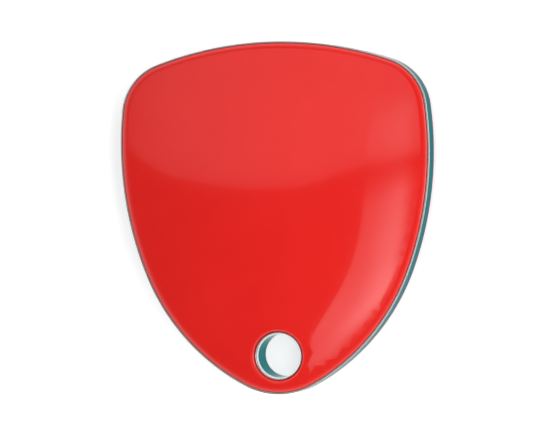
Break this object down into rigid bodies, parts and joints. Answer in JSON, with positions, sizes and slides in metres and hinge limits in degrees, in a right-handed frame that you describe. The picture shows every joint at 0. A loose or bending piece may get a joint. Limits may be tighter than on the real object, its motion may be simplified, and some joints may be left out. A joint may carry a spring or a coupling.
{
  "type": "bluetooth tracker tag",
  "caption": "Shield-shaped key finder tag with a domed red press face, slim metal frame and a lined keyring hole; opens to its coin cell and board.",
  "frame": {"origin": "middle of the flat rear face that the tag lies on", "axes": "+Z is the pressed face's normal, +Y points from the keyring hole to the wide arched end, +X is to the right seen from the face"},
  "size_m": [0.0412, 0.0462, 0.0063],
  "materials": {
    "red_gloss": "high-gloss, smooth",
    "red_shell": "satin to gloss moulded plastic",
    "red_inner": "plain moulded inner face",
    "frame_metal": "bright plated, fine grain",
    "eyelet_metal": "bright plated",
    "seal_rubber": "matte",
    "mesh_cloth": "fine woven",
    "adhesive": "translucent bond film",
    "brass_plate": "rolled sheet",
    "ceramic_disc": "fired, silvered",
    "spring_bronze": "sheet spring, gold flashed",
    "board_green": "solder mask",
    "chip_black": "moulded package",
    "can_metal": "crystal can",
    "antenna_ceramic": "fired ceramic",
    "ferrite": "sintered ferrite",
    "capacitor_ceramic": "fired ceramic",
    "tin_plate": "tinned",
    "switch_black": "moulded",
    "switch_steel": "stamped",
    "plunger_white": "moulded",
    "screw_steel": "machine screw",
    "pad_rubber": "silicone",
    "cell_steel": "nickel-plated steel",
    "cell_cap_steel": "nickel-plated steel",
    "grommet_plastic": "moulded gasket",
    "electrode": "pressed electrode stack"
  },
  "bodies": {
    "rear_half": {"rear_cover": "red_shell", "perimeter_seal": "seal_rubber", "eyelet_seal": "seal_rubber", "sound_mesh": "mesh_cloth", "sounder_bond": "adhesive", "sounder_plate": "brass_plate", "sounder_ceramic": "ceramic_disc", "sounder_contacts": "spring_bronze", "main_board": "board_green", "radio_chip": "chip_black", "fast_crystal": "can_metal", "slow_crystal": "can_metal", "chip_antenna": "antenna_ceramic", "sounder_inductor": "ferrite", "capacitor_bodies": "capacitor_ceramic", "capacitor_ends": "tin_plate", "switch_base": "switch_black", "switch_terminals": "tin_plate", "switch_dome": "switch_steel", "switch_cover": "switch_steel", "negative_contact": "spring_bronze", "positive_contact": "spring_bronze", "board_screws": "screw_steel"},
    "front_half": {"bezel_frame": "frame_metal", "keyring_eyelet": "eyelet_metal", "face_gasket": "seal_rubber"},
    "face": {"face_plate": "red_inner", "face_bond": "adhesive", "face_dome": "red_gloss", "press_pad": "pad_rubber"},
    "plunger": {"switch_plunger": "plunger_white"},
    "cell": {"cell_can": "cell_steel", "cell_cap": "cell_cap_steel", "cell_grommet": "grommet_plastic", "cell_core": "electrode"}
  },
  "joints": [
    {"name": "front_lift", "type": "slide", "parent": "rear_half", "child": "front_half", "axis": [0, 0, 1], "range_m": [0, 0.012]},
    {"name": "face_press", "type": "slide", "parent": "front_half", "child": "face", "axis": [0, 0, -1], "range_m": [0, 0.0003], "stiffness_N_per_m": 4000, "deforming": ["face_gasket"]},
    {"name": "plunger_press", "type": "slide", "parent": "rear_half", "child": "plunger", "axis": [0, 0, -1], "range_m": [0, 0.0003], "deforming": ["switch_dome"]},
    {"name": "cell_lift", "type": "slide", "parent": "rear_half", "child": "cell", "axis": [0, 0, 1], "range_m": [0, 0.006]}
  ],
  "couplings": [
    {"joint": "plunger_press", "follows": "face_press", "ratio": 1},
    {"joint": "cell_lift", "follows": "front_lift", "ratio": 0.5}
  ]
}
